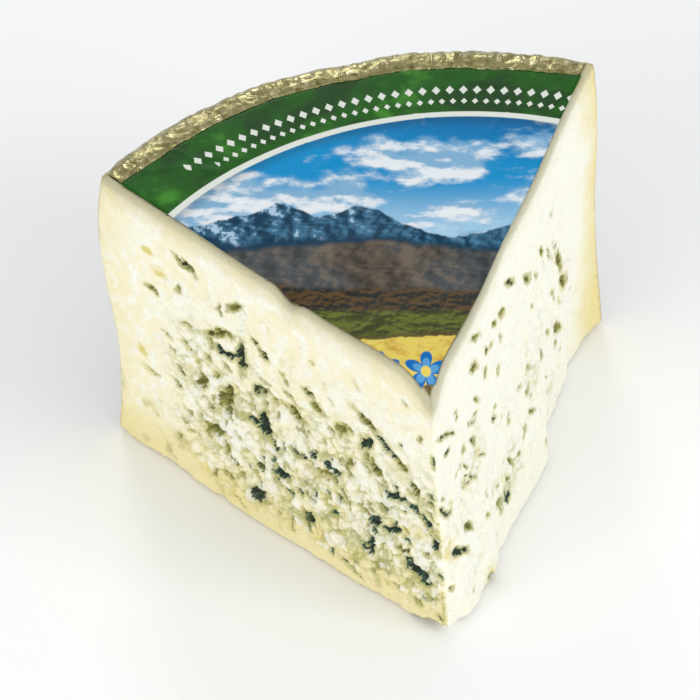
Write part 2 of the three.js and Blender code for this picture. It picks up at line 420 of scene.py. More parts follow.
def cut_face(along, height, side):
    """The relief of a cut face in millimetres outwards, and what its paint needs.

    The relief adds a slow waviness, crumbs (rounded cells with gaps between them, deeper
    where the paste is veined), slits, pits and the mould pockets, the deepest."""
    zone = veined_zone(along, height, side)
    level = side * along
    x, y = level + 500, height

    waves = 0.5 * layered(x / 24, y / 24, 100, 2)
    broken = layered(x / 2.2, y / 1.9, 197, 3)
    warp_x = x + 1.5 * layered(x / 5, y / 5, 109, 3)
    warp_y = y + 1.5 * layered(x / 5, y / 5, 111, 3)
    _, gap, lump = cells(warp_x / 3.8, warp_y / 3.2, 113)
    _, fine_gap, fine_lump = cells(warp_x / 1.7, warp_y / 1.5, 119)
    gapness = 1 - smooth(gap, 0.02, 0.34)
    fine_gapness = 1 - smooth(fine_gap, 0.0, 0.4)
    rough = np.where(side > 0, 0.24, 0.10) + 0.95 * zone
    open_slit, open_pit, halo = slits_and_pits(warp_x, warp_y, zone, 123)

    right = pocket_field(level, height, RIGHT_POCKETS, 1, 143, 0.8)
    left = pocket_field(level, height, LEFT_POCKETS, -1, 137, 1.1)
    pocket, blue = (np.where(side > 0, *pair) for pair in zip(right, left))
    depth = np.where(side > 0, 0.9, 1.7)
    relief = (
        waves
        + (0.6 * (lump - 0.5) - 0.5 * gapness - 0.35 * broken) * rough
        + (0.28 * (fine_lump - 0.5) - 0.25 * fine_gapness) * (0.15 + 0.9 * zone)
        - 0.65 * open_slit
        - 0.75 * open_pit
        - depth * smooth(pocket, 0.0, 0.6)
    )

    veins = smooth(layered(x / 7, y / 6, 153, 3), -0.3, 0.45) * zone
    blotches = smooth(layered(warp_x / 3.4, warp_y / 3.0, 157, 3), -0.05, 0.6) * zone
    mottle = smooth(layered(x / 3.4, y / 5.5, 161, 3), 0.0, 0.6) * np.where(side > 0, 0.3, 1.0)
    mottle = mottle * (1 - smooth(height, 12, 26)) * smooth(height, 0.5, 4)
    haze = np.maximum(veins * (0.18 + 0.6 * gapness), 0.75 * blotches)
    haze = np.maximum(haze, 0.85 * halo) + 0.22 * fine_gapness * zone
    haze = np.maximum(haze, 0.8 * mottle)
    mould = np.maximum.reduce([
        smooth(pocket, -0.06, 0.2) * (1 - 0.35 * fine_gapness),
        0.6 * open_slit,
        0.66 * open_pit,
        0.4 * veins * gapness * smooth(blotches, 0.2, 0.8),
    ])
    wandering_blue = 0.2 + 0.55 * smooth(layered(x / 14, y / 14, 171, 2), -0.2, 0.45)
    foot = 1 - smooth(height + 5 * layered(x / 9, y / 9, 189, 3), 4, 22)
    return relief, {
        "mould": mould,
        "blue": np.where(pocket > -0.3, blue, wandering_blue),
        "stain": np.maximum(0.9 * smooth(pocket, -1.2, 0.1), haze),
        "zone": zone,
        "yellow": np.where(
            side > 0,
            stain_field(level, height, RIGHT_STAINS, 1, 183),
            stain_field(level, height, LEFT_STAINS, -1, 183),
        ),
        "foot": foot * np.where(side > 0, 0.25, 1.0),
        # The hollows take mould colour with painted shade, and the crumbs' tops a painted highlight
        "hollow": np.maximum(gapness, 0.7 * fine_gapness) * smooth(broken, -0.35, 0.35) * zone,
        "crumb": smooth(0.6 * lump - 0.9 * broken - 0.3 * gapness, 0.1, 0.7) * zone,
    }


# ---------------------------------------------------------------- meshes from grids


def put_mesh(name, points, quads, triangles=()):
    """A mesh object from points in millimetres and faces as rows of point numbers."""
    faces = [quads] + ([triangles] if len(triangles) else [])
    sizes = np.concatenate([np.full(len(part), part.shape[1]) for part in faces])
    corners = np.concatenate([part.ravel() for part in faces])
    mesh = bpy.data.meshes.new(name)
    mesh.vertices.add(len(points))
    mesh.vertices.foreach_set("co", (points * MM).astype(np.float32).ravel())
    mesh.loops.add(len(corners))
    mesh.loops.foreach_set("vertex_index", corners.astype(np.int32))
    mesh.polygons.add(len(sizes))
    starts = np.concatenate([[0], np.cumsum(sizes)[:-1]])
    mesh.polygons.foreach_set("loop_start", starts.astype(np.int32))
    mesh.polygons.foreach_set("use_smooth", np.ones(len(sizes), bool))
    mesh.update(calc_edges=True)
    mesh.validate()
    piece = bpy.data.objects.new(name, mesh)
    bpy.context.scene.collection.objects.link(piece)
    return piece


def put_attributes(piece, fields):
    """Stores named arrays, one number for each point, for the materials to read."""
    for name, values in fields.items():
        attribute = piece.data.attributes.new(name, "FLOAT", "POINT")
        attribute.data.foreach_set("value", np.ascontiguousarray(values, np.float32).ravel())


def grid_quads(rows, columns, wrap=False):
    """The faces between the rows and columns of a grid of points numbered row by row. With
    wrap, the last column joins the first."""
    row = np.arange(rows - 1)[:, None] * columns
    column = np.arange(columns if wrap else columns - 1)[None, :]
    beside = (column + 1) % columns
    corners = (row + column, row + beside, row + columns + beside, row + columns + column)
    return np.stack(corners, -1).reshape(-1, 4)


def tube_with_poles(name, rings, low_pole, high_pole, fields):
    """A closed body from rings of points, lowest first and each running anticlockwise from
    above, closed at each end by a fan of triangles to a pole."""
    rows, columns = rings.shape[:2]
    points = np.concatenate([rings.reshape(-1, 3), [low_pole, high_pole]])
    here = np.arange(columns)
    beside = (here + 1) % columns
    last = (rows - 1) * columns
    low, high = rows * columns, rows * columns + 1
    floor_fan = np.stack([beside, here, np.full(columns, low)], -1)
    top_fan = np.stack([last + here, last + beside, np.full(columns, high)], -1)
    fans = np.concatenate([floor_fan, top_fan])
    piece = put_mesh(name, points, grid_quads(rows, columns, wrap=True), fans)
    put_attributes(piece, {
        key: np.concatenate([values.ravel(), [0, 0]]) for key, values in fields.items()
    })
    return piece


def thin_sheet(name, face, thickness, fields):
    """A closed thin sheet. Its seen face is a grid of points, and the hidden one lies a
    thickness behind, along the grid's normals, with a strip round the four edges."""
    rows, columns = face.shape[:2]
    count = rows * columns
    back = face - grid_normals(face) * thickness
    points = np.concatenate([face.reshape(-1, 3), back.reshape(-1, 3)])
    seen = grid_quads(rows, columns)
    hidden = seen[:, ::-1] + count
    number = np.arange(count).reshape(rows, columns)
    edge = np.concatenate([number[0, :-1], number[:-1, -1], number[-1, :0:-1], number[:0:-1, 0]])
    ahead = np.roll(edge, -1)
    border = np.stack([edge, edge + count, ahead + count, ahead], -1)
    piece = put_mesh(name, points, np.concatenate([seen, hidden, border]))
    put_attributes(piece, {
        key: np.concatenate([values.ravel(), values.ravel()]) for key, values in fields.items()
    })
    return piece


def grid_normals(face):
    """Unit normals of a grid: the cross product of its slopes along columns and rows."""
    along_rows = np.gradient(face, axis=0)
    along_columns = np.gradient(face, axis=1)
    normal = np.cross(along_columns, along_rows)
    length = np.linalg.norm(normal, axis=-1, keepdims=True)
    return normal / np.maximum(length, 1e-9)


# ---------------------------------------------------------------- the cheese

FACE_STEP = 0.5  # between points along the cut faces
RIM_STEP = 1.7
CORNER_BLUR = 1.1
PASTE_FOOT = 0.45
PASTE_TOP = TOP - 0.75
FOOT_ROUND = 0.9
LIP_ROUND = 1.5
TIP_WORN = 2.2  # how far the foot is worn up at the tip
WALL_ROWS = 148
HIDDEN_SINK = 1.5  # how far the top lies back under the foil and the label
PASTE_MIDDLE = np.array([2.0, 62.0])  # from the tip to where the hidden rings close
BASE_SHARES = np.array([0.15, 0.45, 0.75, 0.93])
CROWN_SHARES = np.array([0.99, 0.975, 0.95, 0.92, 0.88, 0.83, 0.77, 0.7, 0.6, 0.45, 0.25])


def outline_around():
    """The wedge's outline in plan, anticlockwise from the back left corner to the tip, on to
    the back right corner and round the rim. Two straight edges and an arc are blurred by a
    running bell so that the corners are worn. Returns points, outward normals, and the
    distance from the tip along the edges, negative on the left, with the rim marked."""
    fine = 0.1
    left = np.arange(LEFT_LENGTH, 0, -fine)
    right = np.arange(0, RIGHT_LENGTH, fine)
    turn_right = np.arctan2(*(RIGHT_WAY * RIGHT_LENGTH - AXIS_FROM_TIP))
    turn_left = np.arctan2(*(LEFT_WAY * LEFT_LENGTH - AXIS_FROM_TIP))
    radius = WHEEL_RADIUS - PASTE_INSET
    turns = np.arange(turn_right, turn_left, -fine / radius)
    arc = AXIS_FROM_TIP + radius * np.stack([np.sin(turns), np.cos(turns)], -1)
    points = np.concatenate([left[:, None] * LEFT_WAY, right[:, None] * RIGHT_WAY, arc])
    signed = np.concatenate([-left, right, np.full(len(arc), RIGHT_LENGTH)])
    on_rim = np.concatenate([np.zeros(len(left) + len(right)), np.ones(len(arc))])

    half = 60  # how many fine steps the bell reaches to each side
    bell = hump(np.arange(-half, half + 1), 0, CORNER_BLUR / fine * 1.4142)
    bell /= bell.sum()
    padded = np.concatenate([points[-half:], points, points[:half]])
    blurred = np.stack([np.convolve(padded[:, n], bell, "valid") for n in (0, 1)], -1)

    steps = np.linalg.norm(np.roll(blurred, -1, 0) - blurred, axis=1)
    weight = steps / np.where(on_rim > 0, RIM_STEP, FACE_STEP)
    position = np.concatenate([[0], np.cumsum(weight)[:-1]])
    wanted = np.arange(int(weight.sum())) * (weight.sum() / int(weight.sum()))
    pick = np.searchsorted(position, wanted).clip(0, len(position) - 1)

    tangent = np.roll(blurred, -3, 0) - np.roll(blurred, 3, 0)
    normal = np.stack([tangent[:, 1], -tangent[:, 0]], -1)
    normal /= np.linalg.norm(normal, axis=1, keepdims=True)
    return blurred[pick] + TIP, normal[pick], signed[pick], on_rim[pick]


def paste_profile(plan, along, on_rim):
    """Heights and insets of the wall's rings, lowest first: a quarter turn at the foot, which
    is worn up at the tip, the wall up to the sunken top, and a quarter turn at the lip."""
    quarter = np.linspace(0, math.pi / 2, 6)
    foot_inset = FOOT_ROUND * (1 - np.sin(quarter[1:-1]))
    foot_rise = FOOT_ROUND * (1 - np.cos(quarter[1:-1]))
    lip_inset = LIP_ROUND * (1 - np.cos(quarter[1:]))
    lip_rise = LIP_ROUND * np.sin(quarter[1:])
    worn = TIP_WORN * (1 - smooth(along, 1, 12)) * (1 - on_rim)
    wall_foot = PASTE_FOOT + FOOT_ROUND + worn
    wall_top = PASTE_TOP - LIP_ROUND - top_drop(plan[:, 0], plan[:, 1])
    foot = PASTE_FOOT + foot_rise[:, None] + worn
    wall = wall_foot + np.linspace(0, 1, WALL_ROWS)[:, None] * (wall_top - wall_foot)
    height = np.concatenate([foot, wall, wall_top + lip_rise[:, None]])
    inset = np.concatenate([foot_inset, np.zeros(WALL_ROWS), lip_inset])
    return height, inset[:, None]


def rim_sink(plan, on_rim):
    """How far the rim lies back under the foil. Next to the cut it stands out a little, so
    that it shows at the foil's edge."""
    left_corner = TIP + LEFT_LENGTH * LEFT_WAY
    right_corner = TIP + RIGHT_LENGTH * RIGHT_WAY
    from_cut = np.minimum(
        np.linalg.norm(plan - left_corner, axis=1), np.linalg.norm(plan - right_corner, axis=1)
    )
    covered = smooth(from_cut, 1.5, 6)
    return on_rim * (0.9 * covered - 0.25 * (1 - covered))


def make_cheese():
    """The paste as rings of points. Rising from the base, the rings grow to the outline,
    round the foot, climb the wall, round the lip and shrink over the hidden top. The cut
    faces carry their bow, relief and bitten edges along the outline's normal."""
    plan, normal, signed, on_rim = outline_around()
    height, inset = paste_profile(plan, np.abs(signed), on_rim)
    along = np.broadcast_to(np.abs(signed), height.shape)
    side = np.broadcast_to(np.where(signed > 0, 1.0, -1.0), height.shape)
    to_back = np.where(side > 0, RIGHT_LENGTH, LEFT_LENGTH) - along

    relief, paint = cut_face(along, height, side)
    at_foot = 1 - smooth(height, 0.5, 4.5)
    at_back = (1 - smooth(to_back, 0, 5)) * (1 - on_rim)
    bitten = np.maximum(0, layered(along / 5 + 40, height / 5, 83, 3) - 0.05)
    bites = 1.2 * bitten * (at_foot + at_back)
    cut = (1 - on_rim) * smooth(to_back, 0, 2.5)
    relief = relief * (0.45 + 0.55 * smooth(along, 0.3, 3.5))
    out = (face_bow(along, height, side) + relief - bites) * cut - inset - rim_sink(plan, on_rim)
    x, y = add_barrel(plan[:, 0] + normal[:, 0] * out, plan[:, 1] + normal[:, 1] * out, height)
    shell = np.stack([x, y, height], -1)

    centre = TIP + PASTE_MIDDLE
    base = rings_inside(shell[0], centre, BASE_SHARES, lambda px, py: np.full_like(px, PASTE_FOOT))
    crown = rings_inside(
        shell[-1], centre, CROWN_SHARES, lambda px, py: PASTE_TOP - HIDDEN_SINK - top_drop(px, py)
    )
    crown[0, :, 2] += 0.6 * HIDDEN_SINK  # the first hidden ring lies nearer the lip's height
    low_pole = [*centre, PASTE_FOOT]
    high_pole = [*centre, PASTE_TOP - HIDDEN_SINK - top_drop(*centre)]

    paint["right"] = (side > 0) * (1 - on_rim)
    paint["to_top"] = np.maximum(0, PASTE_TOP - top_drop(x, y) - height)
    paint["to_back"] = to_back * (1 - on_rim)
    hidden = [np.zeros(rings.shape[:2]) for rings in (base, crown)]
    fields = {
        name: np.concatenate([hidden[0], values, hidden[1]]) for name, values in paint.items()
    }
    rings = np.concatenate([base, shell, crown])
    return tube_with_poles("blue_cheese_paste", rings, low_pole, high_pole, fields)


def rings_inside(edge, centre, shares, height_at):
    """Rings that shrink from an edge ring towards a centre, by shares of the distance, at
    the height that a function gives for each plan point."""
    spread = shares[:, None, None]
    plan = centre + (edge[None, :, :2] - centre) * spread
    return np.concatenate([plan, height_at(plan[..., 0], plan[..., 1])[..., None]], -1)


# ---------------------------------------------------------------- the foil

FOIL_THICKNESS = 0.12
FOIL_TOP = TOP - 0.6
FOIL_SWELL = 0.8  # the lift of the side's upper part, so that the top can sink from there
FOIL_SHOULDER = 3.4
FOIL_BAND = 5.0  # from the shoulder in to where the foil lies flat under the label
UNDER_LABEL = 0.75
BASE_SETBACK = 3.0  # how much further the foil's base keeps from the cut faces
BASE_NOSE = 16.0  # from the tip to where the foil's base starts
FOIL_NOSE = 2.2  # from the tip to where the foil's top starts
FOIL_FOOT = 2.2
FOIL_RAYS = 200


def fan(count, setback):
    """Plan rays spread evenly between the cut faces. They leave a corner that is moved up the
    middle line, so that the outer rays keep a setback from the faces. Returns the corner's
    offset from the tip, the rays' directions and their place from -1, left, to 1, right."""
    corner = np.array([0, setback / math.sin(HALF_ANGLE)])
    place = np.linspace(-1, 1, count)
    angle = place * HALF_ANGLE
    return corner, np.stack([np.sin(angle), np.cos(angle)], -1), place


def follow_bow(x, y, place, height):
    """Plan points moved with the cut faces' bow, fully at the cut and not at all inside."""
    from_tip = np.hypot(x - TIP[0], y - TIP[1])
    one = np.ones_like(from_tip)
    to_right = face_bow(from_tip, height, one) * smooth(place, 0.35, 1)
    to_left = face_bow(from_tip, height, -one) * smooth(-place, 0.35, 1)
    x = x + RIGHT_OUT[0] * to_right + LEFT_OUT[0] * to_left
    y = y + RIGHT_OUT[1] * to_right + LEFT_OUT[1] * to_left
    return x, y


def foil_path():
    """The foil's way in the upright plane of a ray, as rows of a stretch's name and how far
    along it, from 0 to 1: the base, its edge, the side, the shoulder, the band outside the
    label, and the part under the label, which has closer rows towards the tip."""
    steps = {"base": 10, "foot": 6, "side": 117, "shoulder": 7, "band": 10, "top": 41}
    rows = [("base", 0.0)]
    for stretch, count in steps.items():
        rows += [(stretch, value) for value in np.linspace(0, 1, count + 1)[1:]]
    return rows


def foil_sections():
    """Points of the smooth foil over (ray, step), and how strongly each may crinkle. Distance
    along a ray and height follow the path: a level base, a quarter turn, an upright side, a
    quarter turn and a level top. The base then draws back from the cut, the top sinks, and
    the faces' bow and the side's bulge are added."""
    corner, ways, place = fan(FOIL_RAYS, FOIL_SETBACK)
    rim = np.array([reach(way, WHEEL_RADIUS, corner) for way in ways])
    level = np.ones(FOIL_RAYS)
    shoulder_foot = FOIL_TOP - FOIL_SWELL - FOIL_SHOULDER
    distance, height, crinkle = [], [], []
    for stretch, value in foil_path():
        quarter = value * math.pi / 2
        if stretch == "base":
            distance.append(BASE_NOSE + (rim - FOIL_FOOT - BASE_NOSE) * value)
            height.append(level * 0)
            crinkle.append(0.0)
        elif stretch == "foot":
            distance.append(rim - FOIL_FOOT * (1 - math.sin(quarter)))
            height.append(level * FOIL_FOOT * (1 - math.cos(quarter)))
            crinkle.append(0.3)
        elif stretch == "side":
            distance.append(rim)
            height.append(level * (FOIL_FOOT + (shoulder_foot - FOIL_FOOT) * value))
            crinkle.append(1.0)
        elif stretch == "shoulder":
            distance.append(rim - FOIL_SHOULDER * (1 - math.cos(quarter)))
            height.append(level * (shoulder_foot + FOIL_SHOULDER * math.sin(quarter)))
            crinkle.append(1.0)
        elif stretch == "band":
            distance.append(rim - FOIL_SHOULDER - FOIL_BAND * value)
            sink = UNDER_LABEL * float(smooth(value, 0.45, 0.9))
            height.append(level * (FOIL_TOP - FOIL_SWELL - sink))
            crinkle.append(1.0 - 0.9 * float(smooth(value, 0.4, 0.9)))
        else:
            start = rim - FOIL_SHOULDER - FOIL_BAND
            distance.append(FOIL_NOSE + (start - FOIL_NOSE) * (1 - value) ** 1.5)
            height.append(level * (FOIL_TOP - FOIL_SWELL - UNDER_LABEL))
            crinkle.append(0.1)
    distance = np.stack(distance, 1)
    height = np.stack(height, 1)
    further = BASE_SETBACK / math.sin(HALF_ANGLE) * (1 - smooth(height, 0, 3))
    distance = distance - further * np.cos(place * HALF_ANGLE)[:, None]
    x = TIP[0] + corner[0] + ways[:, None, 0] * distance
    y = TIP[1] + corner[1] + ways[:, None, 1] * distance + further
    rise = smooth(height, 30, shoulder_foot)
    height = height + FOIL_SWELL * rise - rise * top_drop(x, y)
    x, y = follow_bow(x, y, place[:, None], height)
    x, y = add_barrel(x, y, height)
    return np.stack([x, y, height], -1), np.array(crinkle)[None, :]


def crumple(around, up, roll):
    """How far the crumpled foil stands out, by the way round the rim and the height. Facets
    of three sizes lie all over the side. On the rolled shoulder they give way to slanted
    folds, and the roll stands out over a narrow tuck."""
    x = around + 5 * layered(around / 23, up / 23, 201, 2)
    y = up + 5 * layered(around / 23, up / 23, 207, 2)
    facets = (
        1.5 * folded(x / 27, y / 19, 211)
        + 0.75 * folded(x / 11 + 0.3 * y / 11, y / 8, 217)
        + 0.26 * folded(x / 4.5 - 0.4 * y / 4.5, y / 3.4, 223)
    )
    folds = (
        0.65 * folded(x / 15 + y / 9, y / 4.5, 229)
        + 0.35 * folded(x / 4 - y / 5, y / 2.6, 233)
    )
    return facets * (1 - roll) + (0.75 + folds) * roll


def roll_edge(around):
    """The height of the shoulder roll's uneven lower edge, by the way round the rim."""
    sway = 2.4 * layered(around / 26, 7.0, 251, 2)
    return TOP - 8.2 + sway + 0.5 * layered(around / 4, 3.0, 257, 2)


def make_foil():
    """The foil: its smooth sections, crumpled outwards and pebbled on the crown. The painted
    sheen is how far the crumpled surface leans up and to one side: the crumpling half a
    millimetre behind less that half a millimetre ahead. The finish paints it as a reflection,
    lighter on facets that lean up. Near the cut the foil lies flat on the paste."""
    face, strength = foil_sections()
    place = np.linspace(-1, 1, FOIL_RAYS)[:, None]
    near_cut = 1 - smooth((1 - np.abs(place)) * HALF_ANGLE * WHEEL_RADIUS, 0.5, 6)
    x, y, height = face[..., 0], face[..., 1], face[..., 2]
    turn = np.arctan2(x - WHEEL_AXIS[0], y - WHEEL_AXIS[1])
    inwards = WHEEL_RADIUS - np.hypot(x - WHEEL_AXIS[0], y - WHEEL_AXIS[1])
    around = turn * WHEEL_RADIUS
    up = height - np.where(height > TOP - 6, inwards, 0)

    edge = roll_edge(around)
    roll = smooth(height, edge - 0.4, edge + 0.5)
    tuck = hump(height, edge - 0.9, 0.75)
    crown = smooth(height, TOP - 4, TOP - 1.2)
    _, pebble, _ = cells(around / 3.2, up / 2.6, 241)
    lift = crumple(around, up, roll) * (1 - 0.45 * crown) + 0.6 * np.minimum(pebble, 0.6) * crown
    ahead = crumple(around + 0.5, up + 0.5, roll)
    behind = crumple(around - 0.5, up - 0.5, roll)
    lift = (lift - 0.35 * tuck) * strength * (1 - 0.85 * near_cut)
    lift = lift - 0.55 * near_cut * (strength > 0.2) * (1 - crown)
    face = face + grid_normals(face) * lift[..., None]
    face[..., 2] = np.where(strength == 0, 0.0, np.maximum(face[..., 2], FOIL_THICKNESS))
    fields = {
        "roll": roll, "tuck": tuck, "crown": crown, "around": around, "painted_sheen": behind - ahead,
    }
    return thin_sheet("wrapping_foil", face, FOIL_THICKNESS, fields)


# ---------------------------------------------------------------- the label

LABEL_THICKNESS = 0.14
LABEL_FACE = TOP - 0.25
LABEL_NOSE = 2.4  # from the tip to where the label starts
LABEL_RAYS = 150
LABEL_STEPS = 120


def make_label():
    """The label: a sheet over the fan out to its round edge, on the sunken top, with slow
    waves and a few low wrinkles."""
    corner, ways, place = fan(LABEL_RAYS, LABEL_SETBACK)
    rim = np.array([reach(way, LABEL_RADIUS, corner) for way in ways])
    share = np.linspace(0, 1, LABEL_STEPS) ** 1.15
    distance = LABEL_NOSE + (rim[:, None] - LABEL_NOSE) * share[None, :]
    x = TIP[0] + corner[0] + ways[:, None, 0] * distance
    y = TIP[1] + corner[1] + ways[:, None, 1] * distance
    waves = 0.132 * layered(x / 17, y / 17, 301, 3)
    wrinkles = 0.132 * (1 - smooth(np.abs(layered(x / 21, y / 8, 307, 3)), 0, 0.06))
    height = LABEL_FACE - top_drop(x, y) + waves + wrinkles
    x, y = follow_bow(x, y, place[:, None], height)
    x, y = add_barrel(x, y, height)
    face = np.stack([x, y, height], -1)[:, ::-1]
    return thin_sheet("printed_label", face, LABEL_THICKNESS, {})


# ---------------------------------------------------------------- tools for materials


def ink(red, green, blue):
    """A colour as seen on a screen, 0 to 255, turned into light values for a shader."""
    seen = np.array([red, green, blue]) / 255
    light = np.where(seen <= 0.04045, seen / 12.92, ((seen + 0.055) / 1.055) ** 2.4)
    return (*light.tolist(), 1.0)


class Amount:
    """A value that varies over a surface: a node's output, which operators combine with
    numbers and other amounts through Math nodes."""

    def __init__(self, finish, socket):
        self.finish = finish
        self.socket = socket

    def __add__(self, other):
        return self.finish.math("ADD", self, other)

    def __sub__(self, other):
        return self.finish.math("SUBTRACT", self, other)

    def __rsub__(self, other):
        return self.finish.math("SUBTRACT", other, self)

    def __mul__(self, other):
        return self.finish.math("MULTIPLY", self, other)

    def __truediv__(self, other):
        return self.finish.math("DIVIDE", self, other)

    def __abs__(self):
        return self.finish.math("ABSOLUTE", self)

    __radd__ = __add__
    __rmul__ = __mul__


class Finish:
    """A material being mixed, with one Principled shader."""

    def __init__(self, name):
        self.material = bpy.data.materials.new(name)
        self.material.use_nodes = True
        self.tree = self.material.node_tree
        self.shader = self.tree.nodes["Principled BSDF"]

    def node(self, kind, settings=None, sockets=None, output=0):
        """Adds a node: its settings first, then a value or a link for each named socket."""
        made = self.tree.nodes.new(kind)
        for name, value in (settings or {}).items():
            setattr(made, name, value)
        for key, value in (sockets or {}).items():
            self.feed(made.inputs[key], value)
        return Amount(self, made.outputs[output])

    def feed(self, socket, value):
        """Links an amount to a socket, or sets the socket to a plain value."""
        if isinstance(value, Amount):
            self.tree.links.new(value.socket, socket)
        else:
            socket.default_value = value

    def set(self, **sockets):
        """Sets or links the shader's own sockets, named with underscores for spaces."""
        for name, value in sockets.items():
            self.feed(self.shader.inputs[name.replace("_", " ")], value)

    def cover(self, piece):
        """Gives a piece this finish."""
        piece.data.materials.append(self.material)

    def places(self):
        """Points of the piece, in metres."""
        return self.node("ShaderNodeTexCoord", output="Object")

    def stored(self, name):
        """One of the numbers stored on the piece's points."""
        settings = {"attribute_name": name, "attribute_type": "GEOMETRY"}
        return self.node("ShaderNodeAttribute", settings, output="Fac")

    def part(self, where, axis):
        """One coordinate of a point: 0, 1 or 2 for x, y or z."""
        return self.node("ShaderNodeSeparateXYZ", None, {0: where}, axis)

    def point(self, x, y):
        """A point of a plane."""
        return self.node("ShaderNodeCombineXYZ", None, {0: x, 1: y})

    def math(self, operation, first, second=0.0, third=0.0):
        """An amount worked out from up to three amounts or numbers."""
        sockets = {0: first, 1: second, 2: third}
        return self.node("ShaderNodeMath", {"operation": operation}, sockets)

    def most(self, first, second):
        """The larger of two amounts."""
        return self.math("MAXIMUM", first, second)

    def vector(self, operation, sockets, output="Vector"):
        """A vector, or a length, worked out from vectors."""
        return self.node("ShaderNodeVectorMath", {"operation": operation}, sockets, output)

    def noise(self, size, detail=3.0, rough=0.55, warp=0.0):
        """Noise from 0 to 1 through the piece, whose lumps measure about a size in mm."""
        return self.node("ShaderNodeTexNoise", None, {
            "Vector": self.places(), "Scale": 1 / (size * MM), "Detail": detail,
            "Roughness": rough, "Distortion": warp,
        })

    def flat_noise(self, where, size, detail, rough=0.5, output="Fac"):
        """Noise from 0 to 1 over a plane whose points are in millimetres."""
        return self.node("ShaderNodeTexNoise", {"noise_dimensions": "2D"}, {
            "Vector": where, "Scale": 1 / size, "Detail": detail, "Roughness": rough,
        }, output)

    def step(self, value, low, high, start=0.0, end=1.0):
        """Goes softly from start to end as a value goes from low to high."""
        return self.node("ShaderNodeMapRange", {"interpolation_type": "SMOOTHSTEP"}, {
            "Value": value, "From Min": low, "From Max": high, "To Min": start, "To Max": end,
        })

    def blend(self, share, first, second):
        """A colour between two colours."""
        settings = {"data_type": "RGBA"}
        return self.node("ShaderNodeMix", settings, {0: share, 6: first, 7: second}, 2)

    def bump(self, height, distance, strength, under=None):
        """Raises the surface's look by a height times a distance in millimetres."""
        sockets = {"Height": height, "Distance": distance * MM, "Strength": strength}
        if under:
            sockets["Normal"] = under
        return self.node("ShaderNodeBump", None, sockets)


# ---------------------------------------------------------------- the paste's finish

IVORY = ink(250, 246, 226)
WHITE_PASTE = ink(252, 251, 240)
CREAM = ink(248, 240, 206)
BUTTER = ink(238, 222, 152)
GOLD = ink(216, 200, 84)
SAGE = ink(192, 192, 134)
OLIVE = ink(154, 152, 78)
DARK_OLIVE = ink(80, 82, 36)
GREY_GREEN = ink(98, 124, 100)
TEAL = ink(38, 84, 70)
BLUE_BLACK = ink(10, 36, 32)
# A grey for painted shade over the rounded lip of the cut faces
LIP_SHADE_GREY = ink(178, 174, 142)
# A tan for the band just under the lip, strongest nearest the top
TOP_BAND_TAN = ink(204, 190, 136)
RIND_BROWN = ink(176, 154, 92)
SAGE_YELLOW = ink(216, 206, 134)
# A moss tint for the hollows: mould colour and painted shade together
MOSS_AND_SHADE = ink(186, 186, 100)


def paste_ground(paste, right, slow, medium, fine):
    """The paste without mould: ivory and cream with white crumbs, buttery at the foot and the
    back, with yellow stains, sage and olive haze, moss in the hollows that is partly mould and
    partly painted shade, and white on the crumbs' tops as a painted highlight."""
    height = paste.part(paste.places(), 2) / MM
    ground = paste.blend(paste.step(slow, 0.35, 0.65), IVORY, CREAM)
    ground = paste.blend(paste.step(medium, 0.45, 0.68), ground, WHITE_PASTE)
    rough = paste.stored("zone") * 0.4 + 0.2
    ground = paste.blend(paste.step(fine, 0.5, 0.72) * rough, ground, CREAM)
    ground = paste.blend(right * paste.step(slow, 0.3, 0.7, 0.3, 0.7), ground, WHITE_PASTE)

    foot = paste.stored("foot") + (medium - 0.5) * 0.5
    ground = paste.blend(paste.step(foot, 0.1, 1.1) * 0.75, ground, BUTTER)
    to_back = paste.stored("to_back") + medium * 6 + (slow - 0.5) * 16 - right * 2
    back = paste.step(to_back, 2, 15, 1, 0) * (right * 0.42 + 0.5)
    ground = paste.blend(back, ground, BUTTER)
    yellow = paste.stored("yellow") + (medium - 0.5) * 0.8 + (fine - 0.5) * 0.5
    stain_gold = paste.blend(paste.step(height, 20, 30), BUTTER, GOLD)
    ground = paste.blend(paste.step(yellow, 0.12, 0.7) * 0.8, ground, stain_gold)

    haze = paste.stored("stain") + (medium - 0.5) * 0.9 + (fine - 0.5) * 0.7
    hazy = paste.blend(paste.step(paste.noise(6, 3), 0.42, 0.6), SAGE_YELLOW, SAGE)
    ground = paste.blend(paste.step(haze, 0.1, 0.65) * 0.6, ground, hazy)
    ground = paste.blend(paste.step(haze, 0.5, 1.05) * 0.7, ground, OLIVE)
    # Moss in the hollows between crumbs: partly mould, partly painted shade in the recesses
    hollow = paste.stored("hollow") + (fine - 0.5) * 0.8
    ground = paste.blend(paste.step(hollow, 0.3, 1.0) * 0.55, ground, MOSS_AND_SHADE)
    # Painted highlight: white on the tops of the crumbs
    crumb = paste.stored("crumb") + (fine - 0.5) * 0.6
    return paste.blend(paste.step(crumb, 0.3, 0.9) * 0.6, ground, WHITE_PASTE)


def mould_paint(paste, edge, medium):
    """The mould's colour, darker further in from its edge: from olive to dark olive, or from
    grey-green through teal to blue-black where it is blue."""
    olive = paste.blend(paste.step(edge + (medium - 0.5), 0.56, 1.06), OLIVE, DARK_OLIVE)
    bluish = paste.blend(paste.step(edge, 0.45, 0.7), GREY_GREEN, TEAL)
    deep = paste.step(edge + (medium - 0.5) * 0.8, 0.58, 0.86)
    bluish = paste.blend(deep, bluish, BLUE_BLACK)
    blue = paste.stored("blue") + (medium - 0.5) * 0.7
    return paste.blend(paste.step(blue, 0.3, 0.7), olive, bluish)


